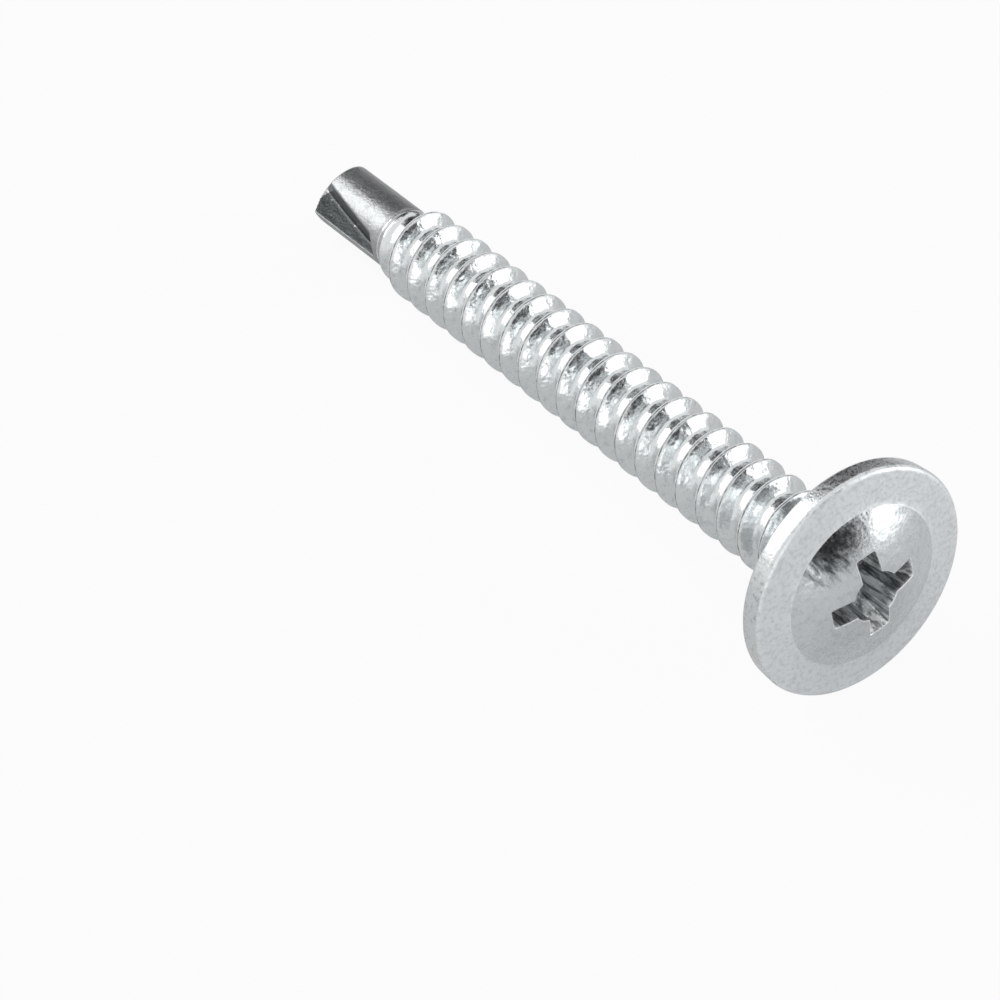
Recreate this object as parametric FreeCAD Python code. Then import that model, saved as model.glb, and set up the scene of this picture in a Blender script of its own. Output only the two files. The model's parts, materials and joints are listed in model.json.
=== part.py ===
import FreeCAD, Part
import math
import os

# Self-drilling screw of hardened steel: a wafer head with a cross recess, a coarse
# tapping thread and a forged two-flute drill point. It is headed and rolled from one
# piece of wire, so it is one solid.
# The screw is built upright, with its axis on Z, the bearing face under the head at
# height 0 and the point downwards. At the end it is laid on its side, as it comes to
# rest: on the rim of the head and on the drill point. Lengths are in millimetres.

# Thread
THREAD_DIAMETER = 4.2
CORE_DIAMETER = 3.0
THREAD_PITCH = 1.4
FLANK_ANGLE = 60.0
CREST_HEIGHT_AT_FRONT = -1.2
NECK_FADE_LENGTH = 1.5
POINT_FADE_LENGTH = 1.2

# Length from the bearing face to the chisel edge of the point
SCREW_LENGTH = 37.7

# Head
HEAD_DIAMETER = 10.7
HEAD_HEIGHT = 1.7
DOME_DIAMETER = 7.4
FLANGE_THICKNESS = 0.7
RIM_TOP_CHAMFER = 0.26
RIM_UNDER_CHAMFER = 0.16

# Strengthening boss under the head, and the plain neck that tapers into the thread's core
BOSS_DIAMETER = 4.3
BOSS_HEIGHT = 0.5
BOSS_TAPER_HEIGHT = 0.5
NECK_DIAMETER = 3.2
NECK_END = 1.5
NECK_TAPER_LENGTH = 0.8

# Cross recess, size 2
RECESS_SPAN = 4.5
RECESS_WING_WIDTH = 1.0
RECESS_WING_DRAFT = 2.0
RECESS_WING_SLOPE = 26.5
RECESS_DEPTH = 2.3
RECESS_CORE_DIAMETER = 2.3
RECESS_CORE_DRAFT = 6.0
RECESS_FLOOR_ANGLE = 30.0
RECESS_TURN = 9.0

# Drill point
DRILL_DIAMETER = 3.1
DRILL_LENGTH = 5.75
FLUTE_LENGTH = 5.2
FLUTE_RUNOUT = 0.5
WEB_AT_TIP = 0.22
WEB_AT_END = 1.12
WEB_BULGE = 0.06
POINT_HALF_ANGLE = 45.0
RELIEF_AHEAD = 0.9
RELIEF_ALONG = 0.1
CUTTING_EDGE_TURN = 15.5
DRILL_TAPER_LENGTH = 0.6

# How far the neck and the drill point reach inside the threaded bar that they join
JOIN_DEPTH = 0.15

# Extra length of a cutting tool beyond the metal it cuts
TOOL_MARGIN = 1.0

AXIS = FreeCAD.Vector(0, 0, 1)
ORIGIN = FreeCAD.Vector(0, 0, 0)

head_radius = HEAD_DIAMETER / 2
dome_radius = DOME_DIAMETER / 2
boss_radius = BOSS_DIAMETER / 2
neck_radius = NECK_DIAMETER / 2
thread_radius = THREAD_DIAMETER / 2
core_radius = CORE_DIAMETER / 2
drill_radius = DRILL_DIAMETER / 2
thread_bottom = -(SCREW_LENGTH - DRILL_LENGTH)


def point(radius, height):
    """A point of a turned profile, in the plane that holds the axis."""
    return FreeCAD.Vector(radius, 0, height)


def line(start, end):
    return Part.LineSegment(start, end).toShape()


def arc(start, middle, end):
    return Part.Arc(start, middle, end).toShape()


def turned(edges):
    """The solid that a closed half profile makes when it is turned about the axis."""
    return Part.Face(Part.Wire(edges)).revolve(ORIGIN, AXIS, 360)


def polygon_turned(points):
    return turned([line(a, b) for a, b in zip(points, points[1:] + points[:1])])


def dome_arc():
    """The crown of the head, a part of a sphere from its top to the flange."""
    rise = HEAD_HEIGHT - FLANGE_THICKNESS
    sphere_radius = (dome_radius ** 2 + rise ** 2) / (2 * rise)
    half_turn = math.asin(dome_radius / sphere_radius) / 2
    middle = point(
        sphere_radius * math.sin(half_turn),
        HEAD_HEIGHT - sphere_radius * (1 - math.cos(half_turn)),
    )
    return arc(point(0, HEAD_HEIGHT), middle, point(dome_radius, FLANGE_THICKNESS))


def head_edges():
    """Half profile of crown, flange, softened rim and flat bearing face."""
    rim_top_in = point(head_radius - RIM_TOP_CHAMFER, FLANGE_THICKNESS)
    rim_top_out = point(head_radius, FLANGE_THICKNESS - RIM_TOP_CHAMFER)
    rim_under_out = point(head_radius, RIM_UNDER_CHAMFER)
    rim_under_in = point(head_radius - RIM_UNDER_CHAMFER, 0)
    return [
        dome_arc(),
        line(point(dome_radius, FLANGE_THICKNESS), rim_top_in),
        line(rim_top_in, rim_top_out),
        line(rim_top_out, rim_under_out),
        line(rim_under_out, rim_under_in),
        line(rim_under_in, point(boss_radius, 0)),
    ]


def headed_blank():
    """The head, the boss that thickens the neck below the recess, and the neck."""
    inner_radius = core_radius - JOIN_DEPTH
    boss_low = point(boss_radius, -BOSS_HEIGHT)
    neck_top = point(neck_radius, -BOSS_HEIGHT - BOSS_TAPER_HEIGHT)
    neck_low = point(neck_radius, -NECK_END)
    inside = point(inner_radius, -NECK_END - NECK_TAPER_LENGTH)
    middle = point(0, -NECK_END - NECK_TAPER_LENGTH)
    return turned(head_edges() + [
        line(point(boss_radius, 0), boss_low),
        line(boss_low, neck_top),
        line(neck_top, neck_low),
        line(neck_low, inside),
        line(inside, middle),
        line(middle, point(0, HEAD_HEIGHT)),
    ])


def drill_blank():
    """The round blank of the drill point, which tapers inside the threaded bar."""
    tip = -SCREW_LENGTH - TOOL_MARGIN
    taper_top = thread_bottom + DRILL_TAPER_LENGTH
    return polygon_turned([
        point(0, tip),
        point(drill_radius, tip),
        point(drill_radius, thread_bottom),
        point(core_radius - JOIN_DEPTH, taper_top),
        point(0, taper_top),
    ])


def helix(radius, height):
    """One turn of a right-hand helix, which starts on +X at a height."""
    return Part.makeHelix(THREAD_PITCH, THREAD_PITCH, radius).Edges[0].translated(AXIS * height)


def bar_end(height, corners):
    """What closes the threaded bar: a spiral ramp, and the flat step where its turn is full."""
    low = AXIS * height
    high = AXIS * (height + THREAD_PITCH)
    step = Part.makePolygon([low] + corners + [high, low])
    ramp = Part.makeRuledSurface(line(low, high), helix(core_radius, height))
    return [ramp, Part.Face(step)]


def threaded_bar():
    """The thread with its core, from beyond the drill point's blank to beyond the neck."""
    root_half = (thread_radius - core_radius) * math.tan(math.radians(FLANK_ANGLE / 2))
    turns_below = math.ceil((CREST_HEIGHT_AT_FRONT - thread_bottom) / THREAD_PITCH) + 2
    turns_above = math.ceil((-NECK_END - CREST_HEIGHT_AT_FRONT) / THREAD_PITCH) + 2
    start = CREST_HEIGHT_AT_FRONT - turns_below * THREAD_PITCH - root_half
    profile = [
        point(core_radius, 0),
        point(thread_radius, root_half),
        point(core_radius, 2 * root_half),
        point(core_radius, THREAD_PITCH),
    ]
    surfaces = []
    for turn in range(turns_below + turns_above):
        height = start + turn * THREAD_PITCH
        rails = [helix(p.x, height + p.z) for p in profile]
        surfaces += [Part.makeRuledSurface(a, b) for a, b in zip(rails, rails[1:])]
    for height in (start, start + (turns_below + turns_above) * THREAD_PITCH):
        surfaces += bar_end(height, [p + AXIS * height for p in profile])
    skin = Part.makeShell([face for surface in surfaces for face in surface.Faces])
    skin.sewShape()
    return Part.makeSolid(skin)


def thread_envelope():
    """The space that the thread may fill: it fades out at the neck and at the point."""
    inner_radius = core_radius - JOIN_DEPTH
    outer_radius = thread_radius + JOIN_DEPTH
    overrun = JOIN_DEPTH / (thread_radius - core_radius)
    neck_inner = -NECK_END + NECK_FADE_LENGTH * overrun
    neck_outer = -NECK_END - NECK_FADE_LENGTH * (1 + overrun)
    point_outer = thread_bottom + POINT_FADE_LENGTH * (1 + overrun)
    point_inner = thread_bottom - POINT_FADE_LENGTH * overrun
    return polygon_turned([
        point(0, neck_inner),
        point(inner_radius, neck_inner),
        point(outer_radius, neck_outer),
        point(outer_radius, point_outer),
        point(inner_radius, point_inner),
        point(0, point_inner),
    ])


def turned_about_axis(shape, degrees):
    return shape.rotated(ORIGIN, AXIS, degrees)


def wedge(half_width, draft_angle):
    """A bar along Y with the recess's height: half_width at the crown, narrower at the floor."""
    floor = HEAD_HEIGHT - RECESS_DEPTH
    top = HEAD_HEIGHT + TOOL_MARGIN
    draft = math.tan(math.radians(draft_angle))
    low = half_width - RECESS_DEPTH * draft
    high = half_width + TOOL_MARGIN * draft
    corners = [point(-low, floor), point(low, floor), point(high, top), point(-high, top)]
    face = Part.Face(Part.makePolygon(corners + corners[:1]))
    face.translate(FreeCAD.Vector(0, -RECESS_SPAN, 0))
    return face.extrude(FreeCAD.Vector(0, 2 * RECESS_SPAN, 0))


def recess_wing_pair():
    """Two opposite wings of the cross recess: they taper towards the floor."""
    ends = wedge(RECESS_SPAN / 2, RECESS_WING_SLOPE)
    sides = wedge(RECESS_WING_WIDTH / 2, RECESS_WING_DRAFT)
    return ends.common(turned_about_axis(sides, 90))


def recess_core():
    """The middle of the cross recess: a steep cone that ends in a blunt point."""
    floor = HEAD_HEIGHT - RECESS_DEPTH
    top = HEAD_HEIGHT + TOOL_MARGIN
    draft = math.tan(math.radians(RECESS_CORE_DRAFT))
    top_radius = RECESS_CORE_DIAMETER / 2 + TOOL_MARGIN * draft
    floor_radius = RECESS_CORE_DIAMETER / 2 - RECESS_DEPTH * draft
    tip = floor - floor_radius * math.tan(math.radians(RECESS_FLOOR_ANGLE))
    return polygon_turned([point(0, top), point(top_radius, top), point(floor_radius, floor), point(0, tip)])


def recess_punch():
    wings = recess_wing_pair()
    punch = recess_core().fuse([wings, turned_about_axis(wings, 90)])
    return turned_about_axis(punch, RECESS_TURN)


def flute_cutter():
    """One flute, ahead of the cutting edge on +X: a radial face and a heel wall that rises."""
    tip = -SCREW_LENGTH - TOOL_MARGIN
    end = -SCREW_LENGTH + FLUTE_LENGTH
    outside = drill_radius + TOOL_MARGIN
    reach_out = end + FLUTE_RUNOUT * (outside - WEB_AT_END) / (drill_radius - WEB_AT_END)
    start = point(WEB_AT_TIP, -SCREW_LENGTH)
    finish = point(WEB_AT_END, end)
    across = (finish - start).normalize().cross(FreeCAD.Vector(0, 1, 0))
    heel = arc(start, (start + finish) * 0.5 - across * WEB_BULGE, finish)
    edges = [
        heel,
        line(finish, point(outside, reach_out)),
        line(point(outside, reach_out), point(outside, tip)),
        line(point(outside, tip), point(WEB_AT_TIP, tip)),
        line(point(WEB_AT_TIP, tip), start),
    ]
    return Part.Face(Part.Wire(edges)).extrude(FreeCAD.Vector(0, -outside, 0))


def point_relief():
    """What the forging leaves off behind the cutting edge on +X, so that only the lip cuts."""
    reach = drill_radius + TOOL_MARGIN
    slope = math.tan(math.radians(90 - POINT_HALF_ANGLE))
    depth = (reach + RELIEF_AHEAD) * slope + 2 * TOOL_MARGIN
    corner = FreeCAD.Vector(-reach, 0, -SCREW_LENGTH - 2 * TOOL_MARGIN)
    block = Part.makeBox(2 * reach, reach, depth, corner)
    apex_height = -SCREW_LENGTH - math.hypot(RELIEF_AHEAD, RELIEF_ALONG) * slope
    apex = FreeCAD.Vector(RELIEF_ALONG, -RELIEF_AHEAD, apex_height)
    cone_height = depth + 2 * TOOL_MARGIN
    kept = Part.makeCone(0, cone_height / slope, cone_height, apex, AXIS)
    return block.cut(kept)


def drill_tools():
    """Both flutes and both reliefs, half a turn apart."""
    tools = []
    for half_turn in (0, 180):
        for tool in (flute_cutter(), point_relief()):
            tools.append(turned_about_axis(tool, CUTTING_EDGE_TURN + half_turn))
    return tools


def upright_screw():
    thread = threaded_bar().common(thread_envelope())
    blank = headed_blank().fuse([thread, drill_blank()])
    return blank.cut([recess_punch()] + drill_tools())


def lean_angle():
    """The slope of the axis when the rim of the head and the shank both touch the floor."""
    drop_to_thread = head_radius - thread_radius
    drop_to_drill = head_radius - drill_radius
    reach_of_thread = -thread_bottom - POINT_FADE_LENGTH + RIM_UNDER_CHAMFER
    point_height = drill_radius * math.tan(math.radians(90 - POINT_HALF_ANGLE))
    reach_of_drill = SCREW_LENGTH - point_height + RIM_UNDER_CHAMFER
    return math.degrees(min(
        math.atan(drop_to_thread / reach_of_thread),
        math.atan(drop_to_drill / reach_of_drill),
    ))


def laid_down(upright):
    """Turns the axis to the X direction, head towards +X, and lowers the screw to height 0."""
    lying = FreeCAD.Matrix(
        0, 0, 1, 0,
        1, 0, 0, 0,
        0, 1, 0, 0,
        0, 0, 0, 1,
    )
    screw = upright.transformed(lying, True)
    screw = screw.rotated(ORIGIN, FreeCAD.Vector(0, 1, 0), -lean_angle())
    box = screw.optimalBoundingBox(False, False)
    middle = (box.XMin + box.XMax) / 2
    return screw.translated(FreeCAD.Vector(-middle, 0, -box.ZMin))


os.makedirs("parts", exist_ok=True)
screw = laid_down(upright_screw())
screw.exportStep("parts/screw.step")
print("solids", len(screw.Solids), "valid", screw.isValid(), "volume", round(screw.Volume, 3))
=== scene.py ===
import json
import math
import bmesh
import bpy
from mathutils import Matrix, Vector, noise


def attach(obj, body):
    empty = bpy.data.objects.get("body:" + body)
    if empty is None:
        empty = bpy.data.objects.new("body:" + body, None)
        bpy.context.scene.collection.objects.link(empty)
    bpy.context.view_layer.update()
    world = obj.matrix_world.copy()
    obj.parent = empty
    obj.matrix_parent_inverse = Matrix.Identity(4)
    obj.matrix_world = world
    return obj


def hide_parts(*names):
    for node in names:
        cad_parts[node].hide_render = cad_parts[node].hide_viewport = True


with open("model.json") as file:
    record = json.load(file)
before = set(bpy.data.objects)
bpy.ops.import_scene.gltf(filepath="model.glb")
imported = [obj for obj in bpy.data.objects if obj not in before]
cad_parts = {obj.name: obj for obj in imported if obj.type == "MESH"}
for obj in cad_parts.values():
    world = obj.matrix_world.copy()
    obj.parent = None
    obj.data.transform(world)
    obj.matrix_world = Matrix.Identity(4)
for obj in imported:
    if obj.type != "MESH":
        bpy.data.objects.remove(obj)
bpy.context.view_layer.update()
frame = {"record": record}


# The head is cold-formed from the wire: a thin rounded flange, a low crown and, beneath,
# a short boss that tapers into the neck. Bright zinc covers it. In mm, axis on Z, point
# down; 0 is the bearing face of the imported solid, whose flange is thinner than this one.

HEAD_RADIUS = 5.343
HEAD_HEIGHT = 1.7
CROWN_RADIUS = 3.7
FLANGE_HEIGHT = 0.7
FLANGE_DROP = ((0, 0), (0.08, 0.03), (0.2, 0.055), (0.4, 0.08), (0.7, 0.11), (1.0, 0.14))
RIM_DROP = 0.185
RIM_TOP_ROUNDING = 0.25
RIM_UNDER_ROUNDING = 0.17
RIM_DRAFT = 0.045
FROSTED_SHARE = 0.45
FLANGE_UNDERSIDE = -0.5
BOSS_RADIUS = 2.15
BOSS_HEIGHT = 0.66
BOSS_TAPER = 0.5
BOSS_FILLET = ((0.12, 0), (0.03, 0.03), (0, 0.1))
NECK_RADIUS = 1.6
NECK_FLARE = 0.04
NECK_RUNOUT = 0.1
NECK_JOINT = -1.42
ROUND_STEPS = 112
RIM_ARC_STEPS = 7
CROWN_RINGS = 9
CROWN_SPACING = 0.8
RECESS_TURN = 9.0
MERGE_DISTANCE = 0.0005
AXIS = Vector((0, 0, 1))
CENTRE = Vector((0, 0, 0))
MILLIMETRE = 0.001

seat = next(m for m in frame["record"]["mounts"] if m["name"] == "bearing_face")
seat_centre = Vector((seat["pos_m"][0], 0, seat["pos_m"][2]))
crown_way = -Vector(seat["axis"])
up_way = crown_way.cross(Vector((0, 1, 0)))
lying = Matrix((Vector((0, 1, 0)), up_way, crown_way)).transposed()
placement = Matrix.Translation(seat_centre) @ lying.to_4x4() @ Matrix.Scale(MILLIMETRE, 4)

finishes = []
NOISE_ROUGHNESS = 0.6
NOISE_RANGE = (0.3, 0.7)
WAVE_PATTERN = 1.6
CLOUD_PATTERN = 0.55


def zinc_finish(name, tone, stain, stained, gloss, grain, skin, waves, drawn=(1, 1, 1)):
    """One finish of the plating; returns its place in the list of finishes.

    tone and stain are its two greys, and stained the part of the noise that turns to stain.
    gloss holds the least and the most roughness; grain is the fine pattern, in 1/mm.
    skin and waves are how deep the grain and the slow waves of the surface are, in mm.
    drawn stretches the grain along the way in which the tool drew the metal.
    """
    material = bpy.data.materials.new(name)
    material.use_nodes = True
    nodes, links = material.node_tree.nodes, material.node_tree.links
    shader = nodes["Principled BSDF"]
    shader.inputs["Metallic"].default_value = 1.0
    place = nodes.new("ShaderNodeTexCoord")
    own = nodes.new("ShaderNodeMapping")
    own.name = "own_place"
    own.vector_type = "TEXTURE"
    own.inputs["Location"].default_value = placement.translation
    own.inputs["Rotation"].default_value = lying.to_euler()
    own.inputs["Scale"].default_value = (MILLIMETRE, MILLIMETRE, MILLIMETRE)
    links.new(place.outputs["Object"], own.inputs["Vector"])
    stretch = nodes.new("ShaderNodeMapping")
    stretch.inputs["Scale"].default_value = drawn
    links.new(own.outputs["Vector"], stretch.inputs["Vector"])

    def grain_of(vector, scale, detail):
        node = nodes.new("ShaderNodeTexNoise")
        node.inputs["Scale"].default_value = scale
        node.inputs["Detail"].default_value = detail
        node.inputs["Roughness"].default_value = NOISE_ROUGHNESS
        links.new(vector.outputs["Vector"], node.inputs["Vector"])
        return node.outputs["Fac"]

    def spread(value, low, high, least, most):
        node = nodes.new("ShaderNodeMapRange")
        node.interpolation_type = "SMOOTHSTEP"
        node.inputs["From Min"].default_value = low
        node.inputs["From Max"].default_value = high
        node.inputs["To Min"].default_value = least
        node.inputs["To Max"].default_value = most
        links.new(value, node.inputs["Value"])
        return node.outputs["Result"]

    fine = grain_of(stretch, scale=grain, detail=5.0)
    slow = grain_of(own, scale=WAVE_PATTERN, detail=2.0)
    cloud = grain_of(stretch, scale=grain * CLOUD_PATTERN, detail=6.0)
    greys = nodes.new("ShaderNodeMix")
    greys.name = "greys"
    greys.data_type = "RGBA"
    greys.inputs["A"].default_value = (*tone, 1)
    greys.inputs["B"].default_value = (*stain, 1)
    links.new(spread(cloud, *stained, 0, 1), greys.inputs["Factor"])
    links.new(greys.outputs["Result"], shader.inputs["Base Color"])
    links.new(spread(fine, *NOISE_RANGE, *gloss), shader.inputs["Roughness"])
    roll = nodes.new("ShaderNodeBump")
    roll.inputs["Distance"].default_value = waves * MILLIMETRE
    links.new(slow, roll.inputs["Height"])
    pits = nodes.new("ShaderNodeBump")
    pits.inputs["Distance"].default_value = skin * MILLIMETRE
    links.new(fine, pits.inputs["Height"])
    links.new(roll.outputs["Normal"], pits.inputs["Normal"])
    links.new(pits.outputs["Normal"], shader.inputs["Normal"])
    finishes.append(material)
    return len(finishes) - 1


RIM_FINISH = zinc_finish(
    "rim_zinc", tone=(0.68, 0.7, 0.71), stain=(0.46, 0.48, 0.49), stained=(0.5, 0.68),
    gloss=(0.2, 0.38), grain=8.0, skin=0.016, waves=0.02)
FLANGE_FINISH = zinc_finish(
    "frosted_zinc", tone=(0.8, 0.825, 0.84), stain=(0.64, 0.665, 0.68), stained=(0.42, 0.72),
    gloss=(0.34, 0.52), grain=9.0, skin=0.02, waves=0.03)
CROWN_FINISH = zinc_finish(
    "burnished_zinc", tone=(0.66, 0.69, 0.705), stain=(0.57, 0.6, 0.615), stained=(0.45, 0.7),
    gloss=(0.2, 0.32), grain=6.0, skin=0.008, waves=0.03)

# The dark streaky mark on the crown is a painted reflection, painted into the crown's colour.
MARK_MIDDLE = (-1.9, 2.85, 0.85)
MARK_REACH = (2.1, 2.3, 1.9)
MARK_TURN = math.radians(120)
MARK_TONE = (0.09, 0.098, 0.102)
MARK_COMB = (1.5, 6, 1.5)
MARK_STREAKS = 2.2
MARK_DEPTH = 1.3
MARK_EDGE = (0.92, 1.5)


def painted_reflection_mark(material):
    """A painted reflection: a dark streaky patch painted into one side of the crown's colour."""
    nodes, links = material.node_tree.nodes, material.node_tree.links
    near = nodes.new("ShaderNodeMapping")
    near.vector_type = "TEXTURE"
    near.inputs["Location"].default_value = MARK_MIDDLE
    near.inputs["Rotation"].default_value = (0, 0, MARK_TURN)
    near.inputs["Scale"].default_value = MARK_REACH
    links.new(nodes["own_place"].outputs["Vector"], near.inputs["Vector"])
    bound = nodes.new("ShaderNodeTexGradient")
    bound.gradient_type = "SPHERICAL"
    links.new(near.outputs["Vector"], bound.inputs["Vector"])
    comb = nodes.new("ShaderNodeMapping")
    comb.inputs["Scale"].default_value = MARK_COMB
    links.new(near.outputs["Vector"], comb.inputs["Vector"])
    streaks = nodes.new("ShaderNodeTexNoise")
    streaks.inputs["Scale"].default_value = MARK_STREAKS
    streaks.inputs["Detail"].default_value = 5.0
    links.new(comb.outputs["Vector"], streaks.inputs["Vector"])
    depth = nodes.new("ShaderNodeMath")
    depth.operation = "MULTIPLY_ADD"
    depth.inputs[1].default_value = MARK_DEPTH
    links.new(streaks.outputs["Fac"], depth.inputs[0])
    links.new(bound.outputs["Fac"], depth.inputs[2])
    edge = nodes.new("ShaderNodeMapRange")
    edge.interpolation_type = "SMOOTHSTEP"
    edge.inputs["From Min"].default_value = MARK_EDGE[0]
    edge.inputs["From Max"].default_value = MARK_EDGE[1]
    links.new(depth.outputs["Value"], edge.inputs["Value"])
    # The painted reflection's dark tone is mixed over the crown's greys.
    painted_reflection_mix = nodes.new("ShaderNodeMix")
    painted_reflection_mix.data_type = "RGBA"
    painted_reflection_mix.inputs["B"].default_value = (*MARK_TONE, 1)
    links.new(edge.outputs["Result"], painted_reflection_mix.inputs["Factor"])
    links.new(nodes["greys"].outputs["Result"], painted_reflection_mix.inputs["A"])
    links.new(painted_reflection_mix.outputs["Result"], nodes["Principled BSDF"].inputs["Base Color"])


# Paints the dark reflection into the crown's colour.
painted_reflection_mark(finishes[CROWN_FINISH])


def turn(degrees):
    return Matrix.Rotation(math.radians(degrees), 3, "Z")


def crown_height(radius):
    """Height of the crown, a part of a sphere, at a distance from the axis."""
    rise = HEAD_HEIGHT - FLANGE_HEIGHT
    sphere = (CROWN_RADIUS ** 2 + rise ** 2) / (2 * rise)
    return HEAD_HEIGHT - sphere + math.sqrt(sphere ** 2 - min(radius, CROWN_RADIUS) ** 2)


def draw_line(mesh, corners):
    """Joins the corners, given as radius and height, into a line of edges."""
    verts = [mesh.verts.new((radius, 0, height)) for radius, height in corners]
    return verts, [mesh.edges.new(pair) for pair in zip(verts, verts[1:])]


def quarter_round(centre, rounding, start, steps):
    """The points of a quarter circle that turns clockwise from the start angle."""
    angles = [math.radians(start - 90 * i / steps) for i in range(steps + 1)]
    return [
        (centre[0] + rounding * math.cos(a), centre[1] + rounding * math.sin(a)) for a in angles]


def spin_once(mesh, geometry):
    bmesh.ops.spin(
        mesh, geom=geometry, cent=CENTRE, axis=AXIS,
        angle=math.tau, steps=ROUND_STEPS, use_merge=True, use_duplicate=False,
    )


head = bmesh.new()
flat_end = HEAD_RADIUS - RIM_TOP_ROUNDING
rim_height = FLANGE_HEIGHT - RIM_DROP
flange_top = [(CROWN_RADIUS + width, FLANGE_HEIGHT - drop) for width, drop in FLANGE_DROP]
rim_top = quarter_round(
    (flat_end, rim_height - RIM_TOP_ROUNDING), RIM_TOP_ROUNDING, 90, RIM_ARC_STEPS)
rim_under = quarter_round(
    (HEAD_RADIUS - RIM_DRAFT - RIM_UNDER_ROUNDING, FLANGE_UNDERSIDE + RIM_UNDER_ROUNDING),
    RIM_UNDER_ROUNDING, 0, RIM_ARC_STEPS)
under_head = [(BOSS_RADIUS + out, FLANGE_UNDERSIDE - down) for out, down in BOSS_FILLET] + [
    (BOSS_RADIUS, -BOSS_HEIGHT),
    (NECK_RADIUS + NECK_FLARE, -BOSS_HEIGHT - BOSS_TAPER),
    (NECK_RADIUS, -BOSS_HEIGHT - BOSS_TAPER - NECK_RUNOUT),
    (NECK_RADIUS, NECK_JOINT),
]
outline, edges = draw_line(head, flange_top + rim_top + rim_under + under_head)
bmesh.ops.rotate(head, verts=outline, cent=CENTRE, matrix=turn(RECESS_TURN))
spin_once(head, outline + edges)
bmesh.ops.remove_doubles(head, verts=head.verts, dist=MERGE_DISTANCE)
for face in head.faces:
    on_top = face.calc_center_median().z > rim_height - RIM_TOP_ROUNDING * FROSTED_SHARE
    face.material_index = FLANGE_FINISH if on_top else RIM_FINISH


# The cross recess is punched into the crown in the same stroke: four tapering wings
# round a steep core, with its edges rounded over a little by the punch.

RECESS_SPAN = 4.5
WING_WIDTH = 1.0
WING_DRAFT = 2.0
WING_SLOPE = 26.5
RECESS_DEPTH = 2.3
RECESS_CORE = 2.3
CORE_DRAFT = 6.0
FLOOR_ANGLE = 30.0
FLOOR_RINGS = (0.8, 0.5, 0.2, 0)
WING_CORNER = 0.1
WING_END_SHARE = 0.75
WING_END_STEPS = 3
WING_CORNER_STEPS = 2
WING_SIDE_STEPS = 5
CORE_STEPS = 4
MOUTH_ROUNDING = 0.11
MOUTH_PASSES = 6
RECESS_RINGS = 7

RECESS_FINISH = zinc_finish(
    "punched_zinc", tone=(0.84, 0.86, 0.87), stain=(0.26, 0.27, 0.275), stained=(0.42, 0.58),
    gloss=(0.2, 0.42), grain=9.0, skin=0.03, waves=0.03, drawn=(1, 1, 0.12))
MOUTH_FINISH = zinc_finish(
    "punched_edge_zinc", tone=(0.85, 0.86, 0.865), stain=(0.6, 0.61, 0.615), stained=(0.5, 0.7),
    gloss=(0.16, 0.3), grain=8.0, skin=0.01, waves=0.01)


def wing_outline(height):
    """Half of one wing of the cross at a height, from the wing's middle to the diagonal.

    The steps of a whole cross add up to ROUND_STEPS, so that it joins the rings of the head.
    """
    depth = HEAD_HEIGHT - height
    reach = RECESS_SPAN / 2 - depth * math.tan(math.radians(WING_SLOPE))
    side = WING_WIDTH / 2 - depth * math.tan(math.radians(WING_DRAFT))
    core = RECESS_CORE / 2 - depth * math.tan(math.radians(CORE_DRAFT))
    root = math.sqrt(core ** 2 - side ** 2)
    reach = max(reach, root + WING_CORNER)
    points = [
        (reach, side * step / WING_END_STEPS * WING_END_SHARE) for step in range(WING_END_STEPS)]
    for step in range(WING_CORNER_STEPS + 1):
        angle = math.radians(90 * step / WING_CORNER_STEPS)
        points.append((
            reach - WING_CORNER + WING_CORNER * math.cos(angle),
            side - WING_CORNER + WING_CORNER * math.sin(angle),
        ))
    straight = reach - WING_CORNER - root
    for step in range(1, WING_SIDE_STEPS + 1):
        points.append((root + straight * (1 - step / WING_SIDE_STEPS), side))
    start = math.atan2(side, root)
    for step in range(1, CORE_STEPS + 1):
        angle = start + (math.pi / 4 - start) * step / CORE_STEPS
        points.append((core * math.cos(angle), core * math.sin(angle)))
    return points


def cross_outline(height):
    """The whole cross at a height, one wing after the other, anticlockwise."""
    half = wing_outline(height)
    wing = [Vector((x, -y, 0)) for x, y in reversed(half[1:-1])]
    wing += [Vector((x, y, 0)) for x, y in half]
    return [turn(90 * k + RECESS_TURN) @ p for k in range(4) for p in wing]


mouth = []
for i in range(ROUND_STEPS):
    height = HEAD_HEIGHT
    for settle in range(MOUTH_PASSES):
        corner = cross_outline(height)[i]
        height = crown_height(corner.length)
    mouth.append(Vector((corner.x, corner.y, height)))

place = head.verts.layers.int.new("place")
step_angle = 360 / ROUND_STEPS
ring = [e for e in head.edges if e.is_boundary and e.verts[0].co.z > 0]
for vert in {v for e in ring for v in e.verts}:
    angle = math.degrees(math.atan2(vert.co.y, vert.co.x)) - RECESS_TURN
    vert[place] = round((angle + 45) / step_angle - 1) % ROUND_STEPS
foot = [
    turn((i + 1) * step_angle - 45 + RECESS_TURN) @ Vector((CROWN_RADIUS, 0, 0))
    for i in range(ROUND_STEPS)]


def grow_ring(mesh, edges, target, finish):
    """Adds a ring of faces inside a ring of edges, its new corners on the target points."""
    grown = bmesh.ops.extrude_edge_only(mesh, edges=edges)["geom"]
    for part in grown:
        if isinstance(part, bmesh.types.BMVert):
            part.co = target[part[place]]
        if isinstance(part, bmesh.types.BMFace):
            part.material_index = finish
    return [e for e in grown if isinstance(e, bmesh.types.BMEdge) and e.is_boundary]


for step in range(1, CROWN_RINGS + 1):
    share = (step / CROWN_RINGS) ** CROWN_SPACING
    on_crown = [a.lerp(Vector((b.x, b.y, 0)), share) for a, b in zip(foot, mouth)]
    for spot in on_crown:
        spot.z = crown_height(spot.xy.length)
    ring = grow_ring(head, ring, on_crown, CROWN_FINISH)
mouth_edges = ring

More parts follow.
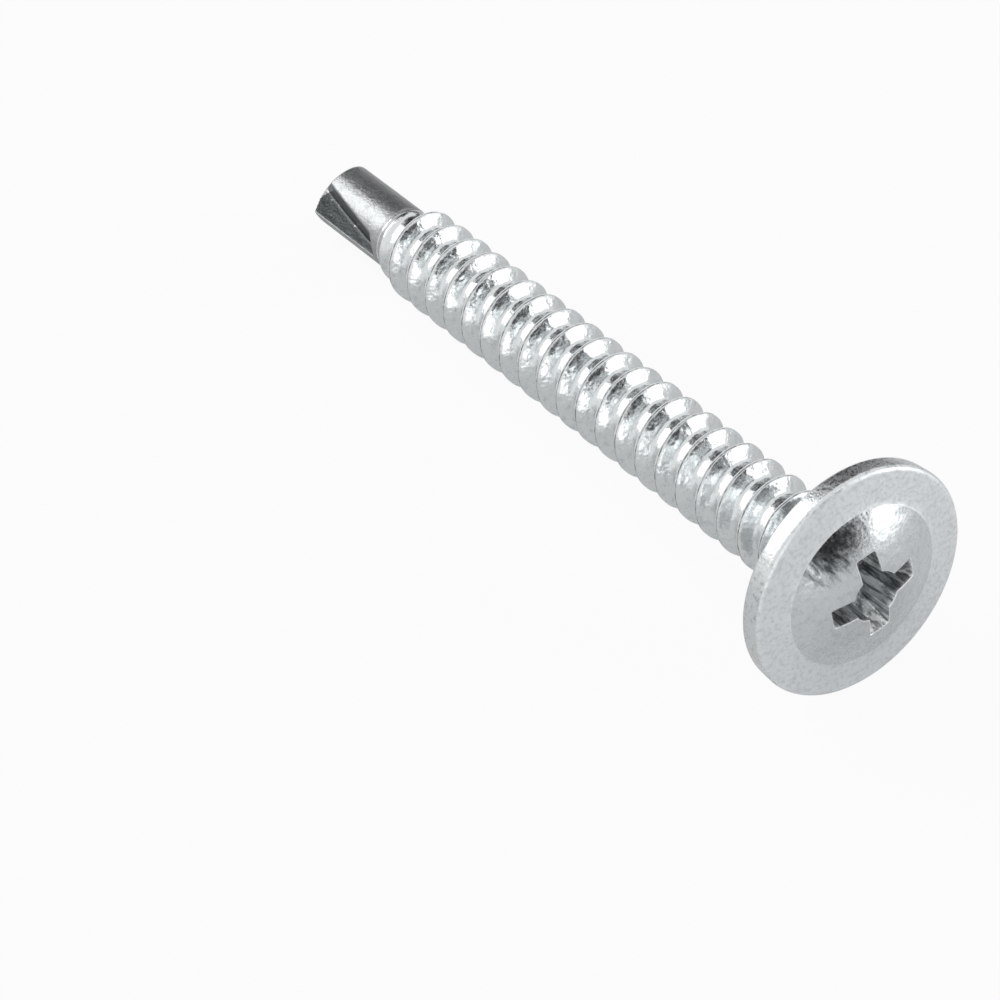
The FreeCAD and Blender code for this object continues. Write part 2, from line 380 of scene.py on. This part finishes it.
floor = HEAD_HEIGHT - RECESS_DEPTH
for step in range(1, RECESS_RINGS + 1):
    share = step / RECESS_RINGS
    levels = [m.z + (floor - m.z) * share for m in mouth]
    wall = [cross_outline(z)[i] + Vector((0, 0, z)) for i, z in enumerate(levels)]
    ring = grow_ring(head, ring, wall, RECESS_FINISH)
core_floor = RECESS_CORE / 2 - RECESS_DEPTH * math.tan(math.radians(CORE_DRAFT))
cone = math.tan(math.radians(FLOOR_ANGLE))
for share in FLOOR_RINGS:
    ground = [Vector((p.x * share, p.y * share, 0)) for p in wall]
    for spot in ground:
        spot.z = floor - max(0, core_floor - spot.length) * cone
    ring = grow_ring(head, ring, ground, RECESS_FINISH)
bmesh.ops.remove_doubles(head, verts=head.verts, dist=MERGE_DISTANCE)
rounded = bmesh.ops.bevel(
    head, geom=mouth_edges, offset=MOUTH_ROUNDING, offset_type="OFFSET", affect="EDGES",
    segments=2, profile=0.5, material=-1, clamp_overlap=True,
)
for face in rounded["faces"]:
    face.material_index = MOUTH_FINISH


# The thread is rolled: a sharp coarse ridge with a fine groove along its crest, whose
# faces are coloured dark. It fades out at the neck and above the drill point.

PITCH = 1.4
FRONT_CREST = -1.2
CORE_RADIUS = 1.5
NECK_TAPER = (-1.82, -1.5)
NECK_FADE = (-1.5, -3.0)
POINT_FADE = (-31.8, -30.35)
THREAD_TOP = -1.46
THREAD_BOTTOM = -31.8
THREAD_STEPS = 96
THREAD_PROFILE = [
    (0.0, 2.055), (0.028, 2.082), (0.058, 2.098), (0.092, 2.075), (0.16, 1.955), (0.25, 1.8),
    (0.33, 1.66), (0.38, 1.58), (0.44, 1.525), (0.52, 1.502), (0.61, 1.5), (0.7, 1.5),
]
DARK_CREST_RADII = (2.06, 2.08)
TURNS_ABOVE = 2
TURNS_BELOW = 1
CREST_WANDER = 0.03
WANDER_PATTERN = 1.3
WANDER_RIDGE = 0.5
WANDER_DIP = 0.5

THREAD_FINISH = zinc_finish(
    "rolled_zinc", tone=(0.7, 0.725, 0.735), stain=(0.58, 0.605, 0.615), stained=(0.5, 0.7),
    gloss=(0.16, 0.3), grain=5.0, skin=0.008, waves=0.055, drawn=(1, 1, 1.6))
# The faces in the groove along the crest are coloured dark.
DARK_CREST_FINISH = zinc_finish(
    "dark_crest_zinc", tone=(0.22, 0.225, 0.23), stain=(0.5, 0.51, 0.515), stained=(0.42, 0.55),
    gloss=(0.3, 0.5), grain=6.0, skin=0.01, waves=0.02)

thread = bmesh.new()
upper_half = [(radius, height) for height, radius in THREAD_PROFILE]
lower_half = [(radius, -height) for radius, height in reversed(upper_half)][:-1]
profile, edges = draw_line(thread, lower_half + upper_half)
turns = math.ceil((FRONT_CREST - THREAD_BOTTOM) / PITCH) + TURNS_ABOVE + TURNS_BELOW
bottom_crest = FRONT_CREST - PITCH * (turns - TURNS_ABOVE)
bmesh.ops.translate(thread, verts=profile, vec=AXIS * bottom_crest)
bmesh.ops.spin(
    thread, geom=profile + edges, cent=CENTRE, axis=AXIS, dvec=AXIS * (PITCH / THREAD_STEPS),
    angle=math.tau, steps=THREAD_STEPS, use_merge=False, use_duplicate=False,
)
for face in thread.faces:
    out = sum(v.co.xy.length for v in face.verts) / len(face.verts)
    face.material_index = DARK_CREST_FINISH if DARK_CREST_RADII[0] < out < DARK_CREST_RADII[1] else THREAD_FINISH
first_turn = thread.verts[:] + thread.edges[:] + thread.faces[:]
for k in range(1, turns):
    copied = bmesh.ops.duplicate(thread, geom=first_turn)["geom"]
    moved = [v for v in copied if isinstance(v, bmesh.types.BMVert)]
    bmesh.ops.translate(thread, verts=moved, vec=AXIS * (PITCH * k))
bmesh.ops.remove_doubles(thread, verts=thread.verts, dist=MERGE_DISTANCE)


def part_of_way(value, start, end):
    """How far a value has come from start to end, between 0 and 1."""
    return min(max((value - start) / (end - start), 0), 1)


for vert in thread.verts:
    ridge = vert.co.xy.length - CORE_RADIUS
    share = min(ridge / WANDER_RIDGE, 1)
    wander = noise.noise(vert.co * WANDER_PATTERN) * CREST_WANDER * share
    vert.co.z += wander
    ridge -= abs(wander) * WANDER_DIP
    fade = min(part_of_way(vert.co.z, *NECK_FADE), part_of_way(vert.co.z, *POINT_FADE))
    core = CORE_RADIUS + (NECK_RADIUS - CORE_RADIUS) * part_of_way(vert.co.z, *NECK_TAPER)
    scale = max(core, CORE_RADIUS + ridge * fade) / vert.co.xy.length
    vert.co.x *= scale
    vert.co.y *= scale


def trim(mesh, height, side):
    """Cuts the mesh level at a height, and takes off what lies on that side of it."""
    bmesh.ops.bisect_plane(
        mesh, geom=mesh.verts[:] + mesh.edges[:] + mesh.faces[:], dist=0.0001,
        plane_co=AXIS * height, plane_no=AXIS * side, clear_outer=True,
    )


trim(thread, THREAD_TOP, 1)
trim(thread, THREAD_BOTTOM, -1)


# The drill point is forged from the same wire: two flutes, ahead of two cutting edges,
# and faces behind the edges that fall away, so that only the edges cut.

DRILL_RADIUS = 1.55
SCREW_LENGTH = 37.7
LAND_TOP = -31.95
BLANK_TOP = THREAD_BOTTOM + 0.5
POINT_TOP = THREAD_BOTTOM - 0.04
FLUTE_LENGTH = 5.2
FLUTE_RUNOUT = 0.5
WEB_AT_TIP = 0.22
WEB_AT_END = 1.12
WEB_BULGE = 0.06
HEEL_STEPS = 8
POINT_HALF_ANGLE = 45.0
RELIEF_AHEAD = 0.9
RELIEF_ALONG = 0.1
RELIEF_OVERLAP = 0.01
CUTTING_EDGE_TURN = 15.5
TOOL_MARGIN = 1.0
DRILL_GRAIN = 0.05
SMOOTHING_PASSES = 3
LAND_EDGE = 1.49
FLUTE_SHADE_STOP = 0.35

# The point is the same zinc as the thread: its rougher grain is the forged finish, and its much
# darker tone is painted shade.
POINT_SHADED_FINISH = zinc_finish(
    "forged_zinc_with_painted_shade", tone=(0.39, 0.4, 0.405), stain=(0.33, 0.345, 0.35), stained=(0.5, 0.66),
    gloss=(0.3, 0.4), grain=8.0, skin=0.022, waves=0.03)
# The flutes' very dark tone is painted shade in the hollows; their lighter specks are random
# stain.
FLUTE_SHADE_FINISH = zinc_finish(
    "flute_shade_zinc", tone=(0.1, 0.107, 0.11), stain=(0.6, 0.62, 0.63), stained=(0.62, 0.76),
    gloss=(0.3, 0.5), grain=7.0, skin=0.02, waves=0.05)


def solid(name, mesh):
    """An object made of a finished bmesh, for cutting with."""
    bmesh.ops.recalc_face_normals(mesh, faces=mesh.faces)
    data = bpy.data.meshes.new(name)
    mesh.to_mesh(data)
    mesh.free()
    item = bpy.data.objects.new(name, data)
    bpy.context.scene.collection.objects.link(item)
    return item


def settle_modifiers(item):
    """Makes the modifiers' result the object's own mesh."""
    bpy.context.view_layer.update()
    seen = item.evaluated_get(bpy.context.evaluated_depsgraph_get())
    result = bpy.data.meshes.new_from_object(seen)
    item.modifiers.clear()
    item.data = result


def cut_away(item, tool):
    cutter = item.modifiers.new("cut", "BOOLEAN")
    cutter.operation = "DIFFERENCE"
    cutter.solver = "EXACT"
    cutter.object = tool
    settle_modifiers(item)
    bpy.data.objects.remove(tool)


def flute_tool():
    """The space of one flute: a flat face along the radius, and a heel wall that rises."""
    mesh = bmesh.new()
    tip = -SCREW_LENGTH - 1.5 * TOOL_MARGIN
    end = -SCREW_LENGTH + FLUTE_LENGTH
    outside = DRILL_RADIUS + TOOL_MARGIN
    reach_out = end + FLUTE_RUNOUT * (outside - WEB_AT_END) / (DRILL_RADIUS - WEB_AT_END)
    heel = [(WEB_AT_TIP, tip)]
    for step in range(HEEL_STEPS + 1):
        share = step / HEEL_STEPS
        sag = WEB_BULGE * 4 * share * (1 - share)
        web = WEB_AT_TIP + (WEB_AT_END - WEB_AT_TIP) * share + sag
        heel.append((web, -SCREW_LENGTH + FLUTE_LENGTH * share))
    verts, edges = draw_line(mesh, heel + [(outside, reach_out), (outside, tip)])
    face = mesh.faces.new(verts)
    swept = bmesh.ops.extrude_face_region(mesh, geom=[face])["geom"]
    moved = [v for v in swept if isinstance(v, bmesh.types.BMVert)]
    bmesh.ops.translate(mesh, verts=moved, vec=(0, -outside, 0))
    return solid("flute_tool", mesh)


def relief_tool():
    """What the forging leaves off behind one cutting edge: a block round a leaning cone."""
    reach = DRILL_RADIUS + TOOL_MARGIN
    slope = math.tan(math.radians(90 - POINT_HALF_ANGLE))
    depth = (reach + RELIEF_AHEAD) * slope + 2 * TOOL_MARGIN
    block = bmesh.new()
    bmesh.ops.create_cube(block, size=1)
    bmesh.ops.scale(block, verts=block.verts, vec=(2 * reach, reach, depth))
    middle = Vector((0, reach / 2 - RELIEF_OVERLAP, -SCREW_LENGTH - 2 * TOOL_MARGIN + depth / 2))
    bmesh.ops.translate(block, verts=block.verts, vec=middle)
    cone = bmesh.new()
    tall = depth + 2 * TOOL_MARGIN
    bmesh.ops.create_cone(
        cone, cap_ends=True, cap_tris=False, segments=160,
        radius1=0, radius2=tall / slope, depth=tall,
    )
    apex = -SCREW_LENGTH - math.hypot(RELIEF_AHEAD, RELIEF_ALONG) * slope
    bmesh.ops.translate(cone, verts=cone.verts, vec=(RELIEF_ALONG, -RELIEF_AHEAD, apex + tall / 2))
    item = solid("relief_tool", block)
    cut_away(item, solid("kept_cone", cone))
    return item


drill_blank = bmesh.new()
outline, edges = draw_line(drill_blank, [
    (0, BLANK_TOP),
    (CORE_RADIUS, BLANK_TOP),
    (CORE_RADIUS, THREAD_BOTTOM),
    (DRILL_RADIUS, LAND_TOP),
    (DRILL_RADIUS, -SCREW_LENGTH - TOOL_MARGIN),
    (0, -SCREW_LENGTH - TOOL_MARGIN),
])
spin_once(drill_blank, outline + edges)
bmesh.ops.remove_doubles(drill_blank, verts=drill_blank.verts, dist=MERGE_DISTANCE)
drill = solid("drill_point", drill_blank)
for make_tool in (flute_tool, relief_tool):
    for half_turn in (0, 180):
        tool = make_tool()
        tool.data.transform(turn(CUTTING_EDGE_TURN + half_turn).to_4x4())
        cut_away(drill, tool)
grain = drill.modifiers.new("grain", "REMESH")
grain.mode = "VOXEL"
grain.voxel_size = DRILL_GRAIN
settle_modifiers(drill)
point = bmesh.new()
point.from_mesh(drill.data)
bpy.data.objects.remove(drill)
for smoothing in range(SMOOTHING_PASSES):
    bmesh.ops.smooth_vert(
        point, verts=point.verts, factor=0.5,
        use_axis_x=True, use_axis_y=True, use_axis_z=True,
    )
# Faces in the flutes, short of the tip, take the painted flute shade.
for face in point.faces:
    middle = face.calc_center_median()
    in_flute = middle.xy.length < LAND_EDGE and middle.z > -SCREW_LENGTH + FLUTE_SHADE_STOP
    face.material_index = FLUTE_SHADE_FINISH if in_flute else POINT_SHADED_FINISH
trim(point, POINT_TOP, 1)


# The three stretches are one piece of metal, joined where they meet. The rolling left the
# shank a little off the head's axis. The screw lies on its side as it comes to rest, on
# the rim of the head and on the point.

OFF_CENTRE = 0.12
OFF_CENTRE_TURN = 215.6
OFF_CENTRE_START = (-0.6, -2.0)
OFF_CENTRE_END = (-34.0, -6.0)
JOINT_MARGIN = 0.01
CREASE_ANGLE = 38.0


def as_mesh(name, part):
    data = bpy.data.meshes.new(name)
    for finish in finishes:
        data.materials.append(finish)
    part.to_mesh(data)
    part.free()
    return data


def open_edges(mesh, low, high):
    return [e for e in mesh.edges if e.is_boundary and all(low < v.co.z < high for v in e.verts)]


screw_mesh = bmesh.new()
for name, part in (("head", head), ("thread", thread), ("point", point)):
    screw_mesh.from_mesh(as_mesh(name, part))
for low, high, finish in (
        (THREAD_TOP, NECK_JOINT, RIM_FINISH), (POINT_TOP, THREAD_BOTTOM, POINT_SHADED_FINISH)):
    facing = open_edges(screw_mesh, low - JOINT_MARGIN, high + JOINT_MARGIN)
    joint = bmesh.ops.bridge_loops(screw_mesh, edges=facing)
    for face in joint["faces"]:
        face.material_index = finish
rolled_off_centre = turn(OFF_CENTRE_TURN) @ Vector((OFF_CENTRE, 0, 0))
for vert in screw_mesh.verts:
    share = part_of_way(vert.co.z, *OFF_CENTRE_START) * part_of_way(vert.co.z, *OFF_CENTRE_END)
    vert.co += rolled_off_centre * share
bmesh.ops.recalc_face_normals(screw_mesh, faces=screw_mesh.faces)
bmesh.ops.transform(screw_mesh, matrix=placement, verts=screw_mesh.verts)
screw_data = as_mesh("plated_screw", screw_mesh)
screw_data.shade_smooth()
screw_data.set_sharp_from_angle(angle=math.radians(CREASE_ANGLE))
screw = bpy.data.objects.new("plated_screw", screw_data)
bpy.context.scene.collection.objects.link(screw)
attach(screw, "root")
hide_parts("screw")


# The studio: a white floor that keeps the screw's shadow, soft lamps and dark cards that
# only the metal shows, and a camera that looks down on the screw from beside its head.

SCREW_ON_CAMERA = Vector((14.478, -3.300, -188.398)) * MILLIMETRE
RIM_MIDDLE = 0.35
CAMERA_AZIMUTH = 53.93
CAMERA_ELEVATION = 42.66
LENS = 167.1
FLOOR_SHOWN = 0.93
FLOOR_IN_METAL = 0.25
ROOM_LIGHT = 0.4
ROOM_SHOWN = 1.0


def direction(azimuth, elevation):
    """A level azimuth from +X towards +Y, and the height above the floor, in degrees."""
    a, e = math.radians(azimuth), math.radians(elevation)
    return Vector((math.cos(a) * math.cos(e), math.sin(a) * math.cos(e), math.sin(e)))


camera = bpy.data.objects.new("camera", bpy.data.cameras.new("camera"))
bpy.context.scene.collection.objects.link(camera)
bpy.context.scene.camera = camera
camera.data.lens = LENS
camera.data.sensor_width = 36.0
camera.data.clip_start = 0.01
camera.data.clip_end = 20.0
azimuth, elevation = math.radians(CAMERA_AZIMUTH), math.radians(CAMERA_ELEVATION)
across = Vector((math.cos(azimuth), math.sin(azimuth), 0))
away = Vector((-math.sin(azimuth), math.cos(azimuth), 0))
back = Vector((0, 0, 1)) * math.sin(elevation) - away * math.cos(elevation)
upward = back.cross(across)
look = Matrix((across, upward, back)).transposed()
rim_centre = placement @ Vector((0, 0, RIM_MIDDLE))
camera.matrix_world = Matrix.Translation(rim_centre - look @ SCREW_ON_CAMERA) @ look.to_4x4()


def sheet(name, size, tone):
    """A square sheet of the studio, matt and of one tone."""
    grid = bmesh.new()
    bmesh.ops.create_grid(grid, x_segments=1, y_segments=1, size=size / 2)
    data = bpy.data.meshes.new(name)
    grid.to_mesh(data)
    grid.free()
    item = bpy.data.objects.new(name, data)
    bpy.context.scene.collection.objects.link(item)
    matt = bpy.data.materials.new(name)
    matt.use_nodes = True
    surface = matt.node_tree.nodes["Principled BSDF"]
    surface.inputs["Base Color"].default_value = (tone, tone, tone, 1)
    surface.inputs["Roughness"].default_value = 0.9
    data.materials.append(matt)
    return item


def shown_to(nodes, links, camera_share, metal_share):
    """A value: camera_share for the camera's rays, metal_share for reflected ones, else 0."""
    rays = nodes.new("ShaderNodeLightPath")
    shares = []
    for ray, share in (("Is Camera Ray", camera_share), ("Is Glossy Ray", metal_share),
                       ("Is Transmission Ray", metal_share)):
        part = nodes.new("ShaderNodeMath")
        part.operation = "MULTIPLY"
        part.inputs[1].default_value = share
        links.new(rays.outputs[ray], part.inputs[0])
        shares.append(part.outputs["Value"])
    total = shares[0]
    for share in shares[1:]:
        larger = nodes.new("ShaderNodeMath")
        larger.operation = "MAXIMUM"
        links.new(total, larger.inputs[0])
        links.new(share, larger.inputs[1])
        total = larger.outputs["Value"]
    return total


studio_floor = sheet("studio_floor", size=6.0, tone=0.85)
floor_tree = studio_floor.active_material.node_tree
nodes, links = floor_tree.nodes, floor_tree.links
glow = nodes.new("ShaderNodeEmission")
blend = nodes.new("ShaderNodeMixShader")
links.new(shown_to(nodes, links, FLOOR_SHOWN, FLOOR_IN_METAL), blend.inputs["Fac"])
links.new(nodes["Principled BSDF"].outputs["BSDF"], blend.inputs[1])
links.new(glow.outputs["Emission"], blend.inputs[2])
links.new(blend.outputs["Shader"], nodes["Material Output"].inputs["Surface"])


def facing_screw(way, distance):
    return Matrix.Translation(way * distance) @ way.to_track_quat("Z", "Y").to_matrix().to_4x4()


def soft_lamp(name, way, distance, size, watts):
    """A round area lamp that faces the screw."""
    lamp = bpy.data.lights.new(name, "AREA")
    lamp.shape = "DISK"
    lamp.size = size
    lamp.energy = watts
    item = bpy.data.objects.new(name, lamp)
    item.matrix_world = facing_screw(way, distance)
    bpy.context.scene.collection.objects.link(item)


def dark_card(name, way, distance, size, tone):
    """A card that darkens what the metal shows on that side, and does nothing else."""
    card = sheet(name, size, tone)
    card.matrix_world = facing_screw(way, distance)
    card.visible_camera = False
    card.visible_diffuse = False
    card.visible_shadow = False


soft_lamp("overhead", direction(206, 36), distance=0.6, size=0.54, watts=1.5)
soft_lamp("front", direction(42, 12), distance=0.6, size=0.47, watts=1.25)
soft_lamp("side", direction(-16, 7), distance=0.6, size=0.3, watts=0.33)
dark_card("low_side_card", direction(133, 6), distance=0.5, size=0.3, tone=0.08)
dark_card("high_side_card", direction(157, 37), distance=0.5, size=0.38, tone=0.03)
dark_card("collar_card", direction(13, 24), distance=0.5, size=0.4, tone=0.02)

world = bpy.data.worlds.new("studio")
bpy.context.scene.world = world
world.use_nodes = True
nodes, links = world.node_tree.nodes, world.node_tree.links
room = nodes["Background"]
room.inputs["Color"].default_value = (1, 1, 1, 1)
level = nodes.new("ShaderNodeMapRange")
level.inputs["To Min"].default_value = ROOM_LIGHT
level.inputs["To Max"].default_value = ROOM_SHOWN
links.new(shown_to(nodes, links, 1.0, 1.0), level.inputs["Value"])
links.new(level.outputs["Result"], room.inputs["Strength"])

bpy.context.scene.view_settings.view_transform = "Standard"
